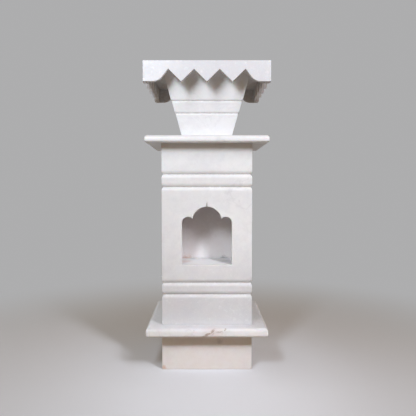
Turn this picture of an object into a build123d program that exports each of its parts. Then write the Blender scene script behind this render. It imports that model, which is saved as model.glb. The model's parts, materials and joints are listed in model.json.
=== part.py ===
from build123d import *
import math
import os

# Tulsi vrindavan planter: a hollow marble pedestal stacked in courses. From the ground up: a plain
# plinth box, a round-edged slab, a moulded shaft with a cusped lamp niche, a round-edged cornice,
# a tapering planting pot, and a deck with a toothed apron round it. Every box is four mitred slabs.
# Millimetres. +Z is up, the niche faces -Y, and the origin is on the ground at the shaft's axis.

# ---- driving dimensions: plinth and slabs -------------------------------------------------------
column_width = 305.0
plinth_height = 125.0
plinth_wall = 20.0
corner_round = 2.5
base_slab_width = 406.0
base_slab_thickness = 29.0
cornice_width = 409.0
cornice_thickness = 23.0
slab_corner_round = 6.0
slab_upper_round = 11.0
slab_lower_round = 7.0

# ---- driving dimensions: shaft and its two moulded bands ----------------------------------------
shaft_wall = 20.0
shaft_foot_height = 103.0
lower_band_height = 40.0
shaft_die_height = 323.5
upper_band_height = 42.5
shaft_neck_height = 103.0
band_groove_depth = 6.0
band_groove_reach = 13.0

# ---- driving dimensions: niche ------------------------------------------------------------------
niche_width = 168.0
niche_depth = 156.0
niche_sill_above_groove = 61.0
arch_spring_height = 142.0
side_lobe_radius = 20.0
middle_lobe_radius = 49.6
middle_lobe_rise = 4.4
finial_cut_height = 18.0
finial_cut_width = 3.2
niche_inside_height = 222.0
niche_panel_thickness = 12.0
niche_cheek_set_out = 9.0
niche_shelf_thickness = 16.0
niche_shelf_margin = 10.0
housing_depth = 5.0

# ---- driving dimensions: pot --------------------------------------------------------------------
pot_foot_width = 170.0
pot_wall = 18.0
pot_floor_thickness = 16.0
pot_flare = 0.27
pot_step = 1.4
pot_lower_tier_height = 83.0
pot_middle_tier_height = 40.0
pot_upper_tier_height = 98.0
pot_groove_depth = 2.4
pot_groove_reach = 7.0

# ---- driving dimensions: deck and toothed apron -------------------------------------------------
canopy_width = 413.0
deck_thickness = 16.0
deck_mouth_lip = 5.0
deck_mouth_corner = 8.0
apron_thickness = 18.0
apron_height = 66.5
tooth_pitch = 82.6
tooth_depth = 40.0
block_slope_degrees = 52.0
block_round = 40.0

# ---- driving dimensions: drain and stainless pins -----------------------------------------------
drain_radius = 10.0
drain_setback = 45.0
pin_radius = 4.0
pin_gap = 0.25
pin_end_gap = 1.0
pin_bite_wall = 25.0
pin_bite_cornice = 14.0
pin_bite_pot = 10.0
pot_pin_spacing = 88.0
apron_pin_radius = 2.5
apron_pin_bite_deck = 20.0
apron_pin_bite_apron = 10.0
apron_pin_spacing = 240.0

# ---- levels and widths worked out from them -----------------------------------------------------
half_column = column_width / 2
base_slab_top = plinth_height + base_slab_thickness
lower_groove = base_slab_top + shaft_foot_height
lower_band_top = lower_groove + lower_band_height
upper_band_foot = lower_band_top + shaft_die_height
upper_groove = upper_band_foot + upper_band_height
shaft_top = upper_groove + shaft_neck_height
shaft_levels = [base_slab_top, lower_groove, lower_band_top, upper_band_foot, upper_groove, shaft_top]

niche_sill = lower_band_top + niche_sill_above_groove
niche_ceiling = niche_sill + niche_inside_height
niche_middle = niche_sill + niche_inside_height / 2
niche_front_y = shaft_wall - half_column
niche_back_y = niche_depth - half_column
shelf_back_y = niche_back_y + niche_panel_thickness + niche_shelf_margin

pot_foot = shaft_top + cornice_thickness
lower_tier_top = pot_foot + pot_lower_tier_height
middle_tier_top = lower_tier_top + pot_middle_tier_height
deck_underside = middle_tier_top + pot_upper_tier_height
pot_levels = [pot_foot, lower_tier_top, middle_tier_top, deck_underside]
pot_height = deck_underside - pot_foot
pot_half_foot = pot_foot_width / 2
pot_half_top = pot_half_foot + pot_flare * pot_height + pot_step * 2
pot_inside_foot = pot_half_foot - pot_wall
pot_inside_top = pot_half_top - pot_wall

deck_top = deck_underside + deck_thickness
deck_half_width = canopy_width / 2 - apron_thickness
apron_foot = deck_top - apron_height
deck_mouth = 2 * (pot_inside_top - deck_mouth_lip)

SIDES = ["front", "right", "back", "left"]
# Sections are drawn with x reaching out from the axis towards the front and y upwards.
SECTION = Plane(origin=(0, 0, 0), x_dir=(0, -1, 0), z_dir=(-1, 0, 0))


def mitre_plan(width):
    """The plan of one side of a square: a triangle from the axis out along both diagonals."""
    return make_face(Polyline((0, 0), (-width, -width), (width, -width), close=True))


def eased_mitre_plan(width, radius):
    """The same, but each outer corner of a square of this width is rounded off by the radius."""
    half = width / 2
    centre = half - radius
    on_mitre = centre + radius * math.sqrt(0.5)
    beyond = half + radius
    edges = [Polyline((-centre, -half), (-centre, -beyond), (centre, -beyond), (centre, -half))]
    for side in (-1, 1):
        corner = (side * on_mitre, -on_mitre)
        edges.append(TangentArc((side * centre, -half), corner, tangent=(side, 0)))
        edges.append(Line(corner, (0, 0)))
    return make_face(Curve() + edges)


def front_run(section, width, bottom, top, plan):
    """A section carried along the front, cut at both ends by the plan's mitres."""
    run = extrude(SECTION * section, amount=width / 2, both=True)
    return run & Pos(0, 0, bottom) * extrude(plan, amount=top - bottom)


def turned(solid, side):
    """A front piece turned about the axis to another side."""
    return Rot(0, 0, 90 * SIDES.index(side)) * solid


def grooved_face(levels, foot_reach, flare, step, depth, reach):
    """The outer outline of a wall, foot to top, with a V groove at each inner level.

    Both arrises of a groove are arcs that leave the face tangentially and meet in its valley.
    Each tier above a groove stands out by step, and flare is the face's lean per unit of height.
    """
    edges = []
    tier_reach = foot_reach
    valley = None
    for low, high in zip(levels, levels[1:]):
        start_gap = reach if valley else 0
        end_gap = reach if high != levels[-1] else 0
        start = (tier_reach + flare * start_gap, low + start_gap)
        end = (tier_reach + flare * (high - low - end_gap), high - end_gap)
        if valley:
            edges.append(TangentArc(start, valley, tangent=(-flare, -1)))
        edges.append(Line(start, end))
        tier_reach += flare * (high - low)
        if end_gap:
            valley = (tier_reach - depth, high)
            edges.append(TangentArc(end, valley, tangent=(flare, 1)))
            tier_reach += step
    return edges, tier_reach


def moulded_section(levels, foot_reach, top_inside, foot_inside, flare, step, depth, reach):
    """The closed section of a wall with a grooved outer face and a straight inner face."""
    edges, top_reach = grooved_face(levels, foot_reach, flare, step, depth, reach)
    inner = Polyline(
        (top_reach, levels[-1]),
        (top_inside, levels[-1]),
        (foot_inside, levels[0]),
        (foot_reach, levels[0]),
    )
    return make_face(Curve() + [*edges, inner])


def pin(radius, x, y, bottom, top):
    """An upright round pin, or the hole for one."""
    return Pos(x, y, (bottom + top) / 2) * Cylinder(radius, top - bottom)


def wall_pins(radius, inset, bottom, top):
    """Four upright pins, one in the middle of each wall's thickness."""
    front = pin(radius, 0, inset - half_column, bottom, top)
    return [turned(front, side) for side in SIDES]


# ---- pins: real size, and their holes with the bedding gap round them ---------------------------
lower_pin_foot = plinth_height - pin_bite_wall
lower_pin_top = base_slab_top + pin_bite_wall
cornice_pin_foot = shaft_top - pin_bite_wall
cornice_pin_top = shaft_top + pin_bite_cornice
pot_pin_foot = pot_foot - pin_bite_cornice
pot_pin_top = pot_foot + pin_bite_pot
apron_pin_level = deck_underside + deck_thickness / 2


def lower_pins(gap, end_gap):
    """Through the base slab, out of the plinth walls and into the shaft walls."""
    return wall_pins(pin_radius + gap, shaft_wall / 2, lower_pin_foot, lower_pin_top + end_gap)


def cornice_pins(gap, end_gap):
    """Out of the shaft walls and into the underside of the cornice."""
    return wall_pins(pin_radius + gap, shaft_wall / 2, cornice_pin_foot, cornice_pin_top + end_gap)


def pot_pins(gap, end_gap):
    """Out of the cornice and into the pot's floor."""
    half = pot_pin_spacing / 2
    spots = [(x, y) for x in (-half, half) for y in (-half, half)]
    return [pin(pin_radius + gap, x, y, pot_pin_foot, pot_pin_top + end_gap) for x, y in spots]


def apron_pins(gap, end_gap, side):
    """Level pins between the deck's edge and one apron."""
    length = apron_pin_bite_deck + apron_pin_bite_apron + end_gap
    middle_y = -(deck_half_width - apron_pin_bite_deck + length / 2)
    spots = [-apron_pin_spacing / 2, apron_pin_spacing / 2]
    level = Rot(90, 0, 0) * Cylinder(apron_pin_radius + gap, length)
    return [turned(Pos(x, middle_y, apron_pin_level) * level, side) for x in spots]


# ---- plinth, slabs ------------------------------------------------------------------------------
def plinth_wall_piece():
    """A plain mitred slab standing on the ground."""
    middle = half_column - plinth_wall / 2
    section = Pos(middle, plinth_height / 2) * Rectangle(plinth_wall, plinth_height)
    plan = eased_mitre_plan(column_width, corner_round)
    wall = front_run(section, column_width, 0, plinth_height, plan)
    return wall - lower_pins(pin_gap, 0)


def round_edged_slab(width, thickness, underside):
    """A square slab whose edges are worn round, more above than below, and meet in mitres."""
    section = Pos(0, thickness / 2) * Rectangle(width, thickness)
    section = fillet(section.vertices().group_by(Axis.Y)[-1], slab_upper_round)
    section = fillet(section.vertices().group_by(Axis.Y)[0], slab_lower_round)
    bar = extrude(SECTION * section, amount=width / 2, both=True)
    block = extrude(RectangleRounded(width, width, slab_corner_round), amount=thickness)
    return Pos(0, 0, underside) * (bar & Rot(0, 0, 90) * bar & block)


def drain_hole(bottom, top):
    """The water's way down, behind the niche."""
    return pin(drain_radius, 0, drain_setback, bottom, top)


def base_slab():
    """The slab between the plinth and the shaft."""
    slab = round_edged_slab(base_slab_width, base_slab_thickness, plinth_height)
    return slab - lower_pins(pin_gap, 0) - drain_hole(plinth_height, base_slab_top)


def cornice():
    """The slab on top of the shaft, which the pot stands on."""
    slab = round_edged_slab(cornice_width, cornice_thickness, shaft_top)
    slab -= cornice_pins(pin_gap, pin_end_gap)
    slab -= pot_pins(pin_gap, 0)
    return slab - drain_hole(shaft_top, pot_foot)


# ---- shaft --------------------------------------------------------------------------------------
def shaft_wall_piece():
    """A tall mitred slab with the two moulded bands across it."""
    inside = half_column - shaft_wall
    section = moulded_section(
        shaft_levels, half_column, inside, inside, 0, 0, band_groove_depth, band_groove_reach
    )
    plan = eased_mitre_plan(column_width, corner_round)
    wall = front_run(section, column_width, base_slab_top, shaft_top, plan)
    return wall - lower_pins(pin_gap, pin_end_gap) - cornice_pins(pin_gap, 0)


def niche_outline():
    """The cusped arch: a wide middle lobe between two small ones, and a thin cut at its crown."""
    jamb = Pos(0, arch_spring_height / 2) * Rectangle(niche_width, arch_spring_height)
    crown = arch_spring_height + middle_lobe_rise + middle_lobe_radius
    side_centre = niche_width / 2 - side_lobe_radius
    outline = jamb + Pos(0, arch_spring_height + middle_lobe_rise) * Circle(middle_lobe_radius)
    for side in (-1, 1):
        outline += Pos(side * side_centre, arch_spring_height) * Circle(side_lobe_radius)
    cut_foot = crown - finial_cut_width
    finial = Polyline(
        (-finial_cut_width / 2, cut_foot),
        (finial_cut_width / 2, cut_foot),
        (0, crown + finial_cut_height),
        close=True,
    )
    return outline + make_face(finial)


def shaft_front():
    """The front wall, pierced by the niche."""
    through = extrude(Plane.XZ * niche_outline(), amount=half_column + shaft_wall)
    return shaft_wall_piece() - Pos(0, 0, niche_sill) * through


def niche_shelf(underside):
    """A shelf across the inside of the shaft, let into its two side walls."""
    width = column_width - 2 * shaft_wall + 2 * housing_depth
    depth = shelf_back_y - niche_front_y
    middle = (niche_front_y + shelf_back_y) / 2
    return Pos(0, middle, underside + niche_shelf_thickness / 2) * Box(width, depth, niche_shelf_thickness)


def niche_floor():
    """The shelf that the lamp stands on, level with the sill."""
    return niche_shelf(niche_sill - niche_shelf_thickness)


def niche_top():
    """The shelf that closes the niche above."""
    return niche_shelf(niche_ceiling)


def niche_cheek(side):
    """A side panel of the niche, upright behind the jamb and clear of it."""
    panel = Box(niche_panel_thickness, niche_back_y - niche_front_y, niche_inside_height)
    middle_x = side * (niche_width / 2 + niche_cheek_set_out + niche_panel_thickness / 2)
    return Pos(middle_x, (niche_front_y + niche_back_y) / 2, niche_middle) * panel


def niche_back():
    """The back panel, which covers the rear ends of both cheeks."""
    width = niche_width + 2 * (niche_cheek_set_out + niche_panel_thickness)
    panel = Box(width, niche_panel_thickness, niche_inside_height)
    return Pos(0, niche_back_y + niche_panel_thickness / 2, niche_middle) * panel


# ---- pot ----------------------------------------------------------------------------------------
def pot_wall_piece():
    """A leaning mitred slab in three tiers, each standing out a little over the one below."""
    section = moulded_section(
        pot_levels, pot_half_foot, pot_inside_top, pot_inside_foot,
        pot_flare, pot_step, pot_groove_depth, pot_groove_reach,
    )
    width = 2 * pot_half_top
    return front_run(section, width, pot_foot, deck_underside, mitre_plan(width))


def pot_floor():
    """The pot's floor, between the four walls, with the drain hole."""
    lean = (pot_inside_top - pot_inside_foot) / pot_height
    top_reach = pot_inside_foot + lean * pot_floor_thickness
    top = pot_foot + pot_floor_thickness
    section = Polyline(
        (-pot_inside_foot, pot_foot), (pot_inside_foot, pot_foot),
        (top_reach, top), (-top_reach, top), close=True,
    )
    bar = extrude(SECTION * make_face(section), amount=pot_half_foot, both=True)
    slab = bar & Rot(0, 0, 90) * bar
    return slab - pot_pins(pin_gap, pin_end_gap) - drain_hole(pot_foot, top)


# ---- deck and apron -----------------------------------------------------------------------------
def deck():
    """The square top slab with the planting mouth."""
    square = Rectangle(2 * deck_half_width, 2 * deck_half_width)
    plan = square - RectangleRounded(deck_mouth, deck_mouth, deck_mouth_corner)
    slab = Pos(0, 0, deck_underside) * extrude(plan, amount=deck_thickness)
    for side in SIDES:
        slab -= apron_pins(pin_gap, 0, side)
    return slab


def tooth_notch():
    """The V between two teeth."""
    return make_face(Polyline((-tooth_pitch / 2, 0), (0, tooth_depth), (tooth_pitch / 2, 0), close=True))


def corner_notch():
    """The outer notch: straight on the tooth's side, rounded on the corner block's side."""
    slope = math.radians(block_slope_degrees)
    meet = tooth_depth / math.tan(slope)
    tangent_length = block_round * math.tan(slope / 2)
    arc_start = (meet - tangent_length * math.cos(slope), tangent_length * math.sin(slope))
    arc_end = (meet + tangent_length, 0)
    straight = Polyline(arc_end, (-tooth_pitch / 2, 0), (0, tooth_depth), arc_start)
    rounded = TangentArc(arc_start, arc_end, tangent=(math.cos(slope), -math.sin(slope)))
    return make_face(Curve() + [straight, rounded])


def apron_notches():
    """All the notches of one apron, as cutters through its thickness."""
    outer = Pos(1.5 * tooth_pitch, 0) * corner_notch()
    inner = Pos(0.5 * tooth_pitch, 0) * tooth_notch()
    cut = extrude(Plane.XZ * (outer + inner), amount=canopy_width)
    cut = Pos(0, 0, apron_foot) * cut
    return cut + mirror(cut, Plane.YZ)


def apron_piece():
    """A mitred slab round the deck with three teeth between two corner blocks."""
    middle = canopy_width / 2 - apron_thickness / 2
    section = Pos(middle, apron_foot + apron_height / 2) * Rectangle(apron_thickness, apron_height)
    plan = eased_mitre_plan(canopy_width, corner_round)
    slab = front_run(section, canopy_width, apron_foot, deck_top, plan)
    return slab - apron_notches() - apron_pins(pin_gap, pin_end_gap, "front")


# ---- the whole planter --------------------------------------------------------------------------
def build_planter():
    """Every piece by its node name."""
    pieces = {"base_slab": base_slab(), "cornice": cornice()}
    plinth = plinth_wall_piece()
    shaft = shaft_wall_piece()
    pot = pot_wall_piece()
    apron = apron_piece()
    for side in SIDES:
        pieces[f"plinth_{side}"] = turned(plinth, side)
        pieces[f"pot_{side}"] = turned(pot, side)
        pieces[f"apron_{side}"] = turned(apron, side)
    pieces["shaft_front"] = shaft_front()
    pieces["shaft_back"] = turned(shaft, "back")
    for side in ("left", "right"):
        pieces[f"shaft_{side}"] = turned(shaft, side) - niche_floor() - niche_top()
    pieces["niche_floor"] = niche_floor()
    pieces["niche_top"] = niche_top()
    pieces["niche_back"] = niche_back()
    pieces["niche_left_cheek"] = niche_cheek(-1)
    pieces["niche_right_cheek"] = niche_cheek(1)
    pieces["pot_floor"] = pot_floor()
    pieces["deck"] = deck()
    pieces["lower_pins"] = Compound(children=lower_pins(0, 0))
    pieces["cornice_pins"] = Compound(children=cornice_pins(0, 0))
    pieces["pot_pins"] = Compound(children=pot_pins(0, 0))
    level_pins = [one for side in SIDES for one in apron_pins(0, 0, side)]
    pieces["apron_pins"] = Compound(children=level_pins)
    return pieces


os.makedirs("parts", exist_ok=True)
for name, solid in build_planter().items():
    export_step(solid, f"parts/{name}.step")
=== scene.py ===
"""Dresses the tulsi vrindavan planter: stones with eased arrises, marble, steel, and the stage.

Lengths are in metres, in the frame's own axes: +Z up, and the lamp niche faces -Y.
"""

import json
from typing import NamedTuple

import bpy
import numpy as np
from bpy.props import FloatProperty, FloatVectorProperty, PointerProperty
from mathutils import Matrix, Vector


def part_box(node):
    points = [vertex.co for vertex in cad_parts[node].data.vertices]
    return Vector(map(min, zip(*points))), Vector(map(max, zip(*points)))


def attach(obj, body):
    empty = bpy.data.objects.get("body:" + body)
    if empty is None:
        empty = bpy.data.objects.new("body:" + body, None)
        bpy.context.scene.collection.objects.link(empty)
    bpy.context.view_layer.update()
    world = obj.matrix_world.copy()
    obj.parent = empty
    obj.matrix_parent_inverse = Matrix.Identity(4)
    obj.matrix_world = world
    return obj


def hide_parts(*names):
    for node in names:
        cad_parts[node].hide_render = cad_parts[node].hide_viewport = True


bl_info = {
    "name": "Tulsi vrindavan planter",
    "version": (1, 0, 0),
    "blender": (4, 5, 0),
    "location": "3D View > Sidebar > Planter",
    "description": "Builds the dressed stones of a marble basil planter round its measured frame",
    "category": "Add Mesh",
}

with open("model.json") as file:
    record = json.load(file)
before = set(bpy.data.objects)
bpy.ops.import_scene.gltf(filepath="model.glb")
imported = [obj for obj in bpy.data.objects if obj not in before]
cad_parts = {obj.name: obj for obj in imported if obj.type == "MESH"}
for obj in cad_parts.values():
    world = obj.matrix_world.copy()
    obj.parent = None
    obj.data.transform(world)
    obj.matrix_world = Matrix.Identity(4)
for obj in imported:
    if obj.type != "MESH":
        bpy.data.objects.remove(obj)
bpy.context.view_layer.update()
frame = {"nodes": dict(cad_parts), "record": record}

MM = 0.001
BODY = "root"
SIDES = ("front", "right", "back", "left")
DRESSED = "dressed_"

# A mitre's angle, the angle past which an edge is shaded sharp, and how near two levels are that
# count as one.
MITRE = np.pi / 4
SHARP = np.radians(38)
NEARLY = 0.05 * MM

# An arris is a quarter round in this many cells. At each angle a, from 0 to a right angle, it stands
# 1 - sin a radii off one face, which falls from 1 to 0, and 1 - cos a off the other, which rises.
ARC_CELLS = 4
ANGLES = np.linspace(0, np.pi / 2, ARC_CELLS + 1)
FALLING = 1 - np.sin(ANGLES)
RISING = 1 - np.cos(ANGLES)

# How far wear runs from an edge or a mitre, and how far grime and painted shade run from a bed,
# a mitre or a groove.
EDGE_WEAR = 2.0 * MM
MITRE_WEAR = 2.5 * MM
BED_GRIME_AND_SHADE = 1.2 * MM
MITRE_GRIME = 0.35 * MM
GROOVE_GRIME_AND_SHADE = 1.8 * MM


# ---- what is measured on the frame --------------------------------------------------------------
def mesh_points(name):
    """The points of a node's mesh, as rows of x, y and z."""
    mesh = frame["nodes"][name].data
    flat = np.empty(3 * len(mesh.vertices))
    mesh.vertices.foreach_get("co", flat)
    return flat.reshape(-1, 3)


def reach_at(name, level):
    """How far out a front piece's outer and inner faces stand at one level."""
    points = mesh_points(name)
    out = -points[np.abs(points[:, 2] - level) < NEARLY, 1]
    return out.max(), out.min()


def span(name):
    """The lowest and the highest level of a node."""
    low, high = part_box(name)
    return low.z, high.z


def plan_corners(name):
    """The four plan corners of an upright panel, counter-clockwise from the one nearest front left."""
    corners = np.unique(np.round(mesh_points(name)[:, :2], 5), axis=0)
    middle = corners.mean(axis=0)
    turn = np.arctan2(corners[:, 1] - middle[1], corners[:, 0] - middle[0])
    corners = corners[np.argsort(turn)]
    return np.roll(corners, -int(np.argmin(corners.sum(axis=1))), axis=0)


def slot_of(name):
    """The record's material slot of a node."""
    return next(part["material_slot"] for part in frame["record"]["subparts"] if part["node"] == name)


COLUMN_REACH, COLUMN_INSIDE = reach_at("shaft_front", span("shaft_front")[1])
PLINTH_INSIDE = reach_at("plinth_front", span("plinth_front")[1])[1]
POT_FOOT_REACH, POT_FOOT_INSIDE = reach_at("pot_front", span("pot_front")[0])
POT_TOP_REACH, POT_TOP_INSIDE = reach_at("pot_front", span("pot_front")[1])
APRON_REACH, APRON_INSIDE = reach_at("apron_front", span("apron_front")[1])
SILL = span("niche_floor")[1]


# ---- sizes and colours --------------------------------------------------------------------------
def size(name, description, millimetres):
    """A length that the panel shows."""
    return FloatProperty(
        name=name, description=description, default=millimetres * MM, min=0, precision=4, unit="LENGTH"
    )


def power(name, description, watts):
    """A lamp's power that the panel shows."""
    return FloatProperty(name=name, description=description, default=watts, min=0, unit="POWER")


def tint(name, description, *rgb):
    """A linear colour that the panel shows."""
    return FloatVectorProperty(
        name=name, description=description, default=rgb, min=0, max=1, size=3, subtype="COLOR"
    )


class PlanterShaft(bpy.types.PropertyGroup):
    """Heights and grooves of the shaft's two moulded bands."""

    foot: size("Foot", "From the base slab to the lowest groove", 103)
    lower_band: size("Lower band", "Between the two lower grooves", 40)
    upper_band: size("Upper band", "Between the two upper grooves", 42.5)
    neck: size("Neck", "From the highest groove to the cornice", 103)
    groove_depth: size("Groove depth", "Depth of each V groove", 6)
    groove_reach: size("Groove reach", "Height of the rounded shoulder on each side of a groove", 13)
    wall_round: size("Corner easing", "Rounding of the upright corners", 2.5)
    arris: size("Arris", "Rounding of the level arrises", 1.1)


class PlanterNiche(bpy.types.PropertyGroup):
    """The cusped arch in the shaft's front wall."""

    width: size("Width", "Clear width between the jambs", 168)
    spring: size("Spring height", "From the sill to the centres of the side lobes", 142)
    side_lobe: size("Side lobe", "Radius of the two side lobes", 20)
    middle_lobe: size("Middle lobe", "Radius of the middle lobe", 49.6)
    middle_rise: size("Middle rise", "Height of the middle lobe's centre over the spring line", 4.4)
    finial_height: size("Finial cut height", "Height of the thin cut above the crown", 18)
    finial_width: size("Finial cut width", "Width of the thin cut at its foot", 4.2)
    arris: size("Arch arris", "Rounding of the arch's front arris", 1.5)


class PlanterPot(bpy.types.PropertyGroup):
    """The tiers of the planting pot."""

    lower_tier: size("Lower tier", "Height of the lowest tier", 83)
    middle_tier: size("Middle tier", "Height of the middle tier", 40)
    step: size("Step", "How far each tier stands out over the one below", 1.4)
    groove_depth: size("Groove depth", "Depth of the grooves between the tiers", 2.4)
    groove_reach: size("Groove reach", "Height of the shoulder on each side of a groove", 7)
    arris: size("Arris", "Rounding of the pot's arrises", 1.2)


class PlanterCanopy(bpy.types.PropertyGroup):
    """The toothed apron and the deck's mouth."""

    tooth_pitch: size("Tooth pitch", "From one tooth to the next", 82.6)
    tooth_depth: size("Tooth depth", "Height of a tooth", 40)
    block_round: size("Block round", "Rounding at the foot of the corner block", 40)
    block_slope: FloatProperty(
        name="Block slope",
        description="Slope of the corner block's edge above its rounding",
        default=np.radians(52.0),
        subtype="ANGLE",
    )
    tip_round: size("Tip wear", "How far the teeth's tips are worn round", 0.5)
    mouth_round: size("Mouth corner", "Rounding of the planting mouth's corners", 8)
    arris: size("Arris", "Rounding of the apron's and the deck's arrises", 0.9)


class PlanterSlabs(bpy.types.PropertyGroup):
    """The two round-edged slabs."""

    corner: size("Corner round", "Rounding of a slab's corners in plan", 6)
    upper_round: size("Upper round", "Rounding of a slab's upper edge", 11)
    lower_round: size("Lower round", "Rounding of a slab's lower edge", 7)
    drain: size("Drain radius", "Radius of the drain hole", 10)
    drain_setback: size("Drain setback", "How far the drain stands behind the axis", 45)


class PlanterColours(bpy.types.PropertyGroup):
    """Linear colours of the stones and the steel."""

    white: tint("White marble", "White marble where it is palest", 0.945, 0.957, 0.968)
    dull: tint("Dull white", "White marble where it is dullest", 0.665, 0.67, 0.69)
    cloud: tint("Clouding", "Grey-blue clouding of the white marble", 0.62, 0.62, 0.66)
    warm: tint("Warm marble", "Warm marble where it is palest", 0.955, 0.935, 0.94)
    warm_dull: tint("Dull warm", "Warm marble where it is dullest", 0.72, 0.66, 0.65)
    blush: tint("Blush", "Pinkish clouding of the warm marble", 0.74, 0.65, 0.63)
    soot: tint("Soot", "Lamp soot and dirt in the niche's rear joint", 0.10, 0.095, 0.10)
    vein: tint("Vein", "Brown vein of the base slab", 0.20, 0.12, 0.075)
    iron: tint("Iron stain", "Rust-coloured stain where iron weeps out", 0.62, 0.27, 0.10)
    # The grime colour also paints shade in grooves, joints and the finial cut, and under the canopy.
    soil_and_shade: tint("Grime", "Dust that settles in grooves and joints", 0.45, 0.42, 0.38)
    worn: tint("Worn arris", "Marble bruised pale along its arrises", 0.93, 0.93, 0.935)
    steel: tint("Steel", "Drawn stainless bar", 0.56, 0.56, 0.57)


class PlanterStage(bpy.types.PropertyGroup):
    """Lamps and background."""

    right_power: power("Right lamp", "Power of the tall soft box at the front right", 14.3)
    left_power: power("Left lamp", "Power of the small soft box at the front left", 10.6)
    foot_power: power("Foot lamp", "Power of the narrow beam on the plinth", 0.36)
    low_power: power("Low lamp", "Power of the soft box near the floor at the left", 0.9)
    rear_power: power("Rear lamp", "Power of the large soft box behind", 9.0)
    fill: tint("Fill", "Light from all round", 0.187, 0.111, 0.033)
    floor: tint("Floor", "Floor's colour as it is seen", 0.76, 0.79, 0.84)
    bounce: tint("Floor bounce", "Floor's colour as it lights the planter", 0.36, 0.31, 0.26)
    backdrop: tint("Backdrop", "Colour behind the planter", 0.42, 0.42, 0.425)


GROUPS = {
    "planter_shaft": PlanterShaft,
    "planter_niche": PlanterNiche,
    "planter_pot": PlanterPot,
    "planter_canopy": PlanterCanopy,
    "planter_slabs": PlanterSlabs,
    "planter_colours": PlanterColours,
    "planter_stage": PlanterStage,
}


# ---- numpy helpers ------------------------------------------------------------------------------
def steps(start, stop, spacing, fine=()):
    """Places from start to stop, about a spacing apart, and extra ones at fine distances from the ends."""
    close = np.array([0.0, *fine])
    cells = max(1, round((stop - start - 2 * close[-1]) / spacing))
    middle = np.linspace(start + close[-1], stop - close[-1], cells + 1)[1:-1]
    return np.concatenate([start + close, middle, stop - close[::-1]])


def chained(*stretches):
    """Places along stretches in a row, each given by its start, its stop and its count of cells."""
    places = [np.linspace(start, stop, cells + 1)[:-1] for start, stop, cells in stretches]
    return np.append(np.concatenate(places), stretches[-1][1])


def stacked(*stretches):
    """A profile's columns, where each stretch gives one number or one array for every column."""
    return np.concatenate([np.stack(np.broadcast_arrays(*stretch)) for stretch in stretches], axis=1)


def ripple(places, seed, length):
    """A smooth wander between about -1 and 1: four sines of random phase, each twice as quick as the last."""
    random = np.random.default_rng(seed)
    octaves = 2.0 ** np.arange(4)
    phases = random.uniform(0, 2 * np.pi, 4)
    waves = np.sin(2 * np.pi * np.multiply.outer(places, octaves) / length + phases)
    return waves @ (0.5 / octaves)


def worn(places, radius, seed, nicks=5, nick_width=1.2 * MM):
    """An arris radius that wanders by a fifth along the edge, with a few small nicks.

    Each nick adds a bell curve of its width, a fifth to one radius high.
    """
    random = np.random.default_rng(seed)
    where = random.uniform(places.min(), places.max(), nicks)
    height = random.uniform(0.2, 1.0, nicks)
    bells = np.exp(-((np.subtract.outer(places, where) / nick_width) ** 2)) @ height
    return radius * (1 + 0.2 * ripple(places, seed, 0.25 * np.ptp(places)) + bells)


def near(distance, width):
    """A mark that is 1 at an edge and dies away over a width from it."""
    return np.exp(-np.abs(distance) / width)


def either(*marks):
    """A mark that is 1 where any of these is 1: 1 less the product of what each leaves of 1."""
    return 1 - np.prod(np.broadcast_arrays(*(1 - one for one in marks)), axis=0)


def turned(points, side):
    """Front points turned about the axis to another side, a quarter turn for each side."""
    x, y, z = np.moveaxis(points, -1, 0)
    for _ in range(SIDES.index(side)):
        x, y = -y, x
    return np.stack([x, y, z], axis=-1)


def raised(plan, height):
    """Rows of plan points, each with its height."""
    return np.concatenate([plan, np.broadcast_to(height, plan.shape[:2])[..., None]], axis=-1)


def point_ids(points):
    """Point numbers of a grid of points."""
    return np.arange(points[..., 0].size).reshape(points.shape[:2])


def grid_faces(ids, across_closed=False, along_closed=False):
    """Quads between neighbours of a grid of point numbers, closed on itself where asked."""
    if along_closed:
        ids = np.concatenate([ids, ids[:1]])
    if across_closed:
        ids = np.concatenate([ids, ids[:, :1]], axis=1)
    quads = np.stack([ids[:-1, :-1], ids[1:, :-1], ids[1:, 1:], ids[:-1, 1:]], axis=-1)
    return quads.reshape(-1, 4)


def zipped(loop):
    """Quads that close a loop of an even count, from its first half across to its second."""
    half = len(loop) // 2
    there, back = loop[:half], loop[half:][::-1]
    return np.stack([there[:-1], there[1:], back[1:], back[:-1]], axis=-1)


def closed_faces(points, shift=0):
    """All quads of a tube of loops: its skin and both ends, zipped from a point shifted round the loop."""
    ids = point_ids(points)
    first, last = np.roll(ids[0], shift), np.roll(ids[-1], shift)
    return np.concatenate([grid_faces(ids, across_closed=True), zipped(first), zipped(last)[:, ::-1]])


def added(name, data):
    """A new object of this data in the scene."""
    thing = bpy.data.objects.new(name, data)
    bpy.context.scene.collection.objects.link(thing)
    return thing


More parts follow.
